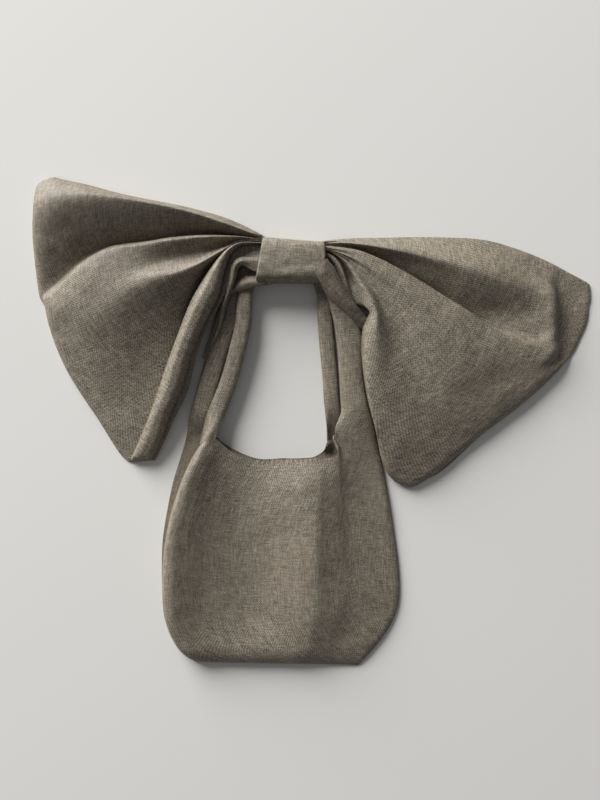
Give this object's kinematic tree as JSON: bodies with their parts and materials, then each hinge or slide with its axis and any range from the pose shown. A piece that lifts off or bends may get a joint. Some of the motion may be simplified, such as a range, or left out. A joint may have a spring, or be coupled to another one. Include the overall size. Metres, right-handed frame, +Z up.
{
  "type": "knot bag",
  "caption": "Soft linen shoulder bag lying flat: a lined pouch with an open mouth, folded straps, and a large sewn bow whose band gathers the straps at the top.",
  "frame": {"origin": "middle of the pouch's back face, on the surface that the bag lies on", "axes": "+Z up from that surface, +Y from the pouch's base to the bow, +X to the right seen from above"},
  "size_m": [0.61, 0.5331, 0.0479],
  "materials": {
    "linen": "heathered plain-weave linen",
    "band_linen": "plain-weave linen pressed flat",
    "lining": "plain cotton lining"
  },
  "bodies": {
    "knot": {"knot_band": "band_linen", "bow_waist": "linen", "strap_crossover": "linen", "left_strap_front": "linen", "left_strap_back": "linen", "right_strap_front": "linen", "right_strap_back": "linen"},
    "left_wing": {"left_wing_front": "linen", "left_wing_back": "linen", "left_pleat_upper": "linen", "left_pleat_lower": "linen"},
    "right_wing": {"right_wing_front": "linen", "right_wing_back": "linen", "right_pleat_inner": "linen", "right_pleat_roll": "linen"},
    "pouch": {"pouch_back_panel": "linen", "pouch_back_lining": "lining"},
    "pouch_front": {"pouch_front_panel": "linen", "pouch_front_lining": "lining"}
  },
  "joints": [
    {"name": "left_wing_lift", "type": "hinge", "parent": "knot", "child": "left_wing", "pos_m": [-0.0199, 0.32443, 0.036], "axis": [0.0785, 0.9969, 0], "range_deg": [0, 70]},
    {"name": "right_wing_lift", "type": "hinge", "parent": "knot", "child": "right_wing", "pos_m": [0.0419, 0.31957, 0.036], "axis": [-0.0785, -0.9969, 0], "range_deg": [0, 70]},
    {"name": "pouch_fold", "type": "hinge", "parent": "knot", "child": "pouch", "pos_m": [0, 0.1353, 0.0195], "axis": [-1, 0, 0], "range_deg": [0, 45]},
    {"name": "mouth_open", "type": "hinge", "parent": "pouch", "child": "pouch_front", "pos_m": [0, -0.113, 0.00175], "axis": [1, 0, 0], "range_deg": [0, 12]}
  ]
}
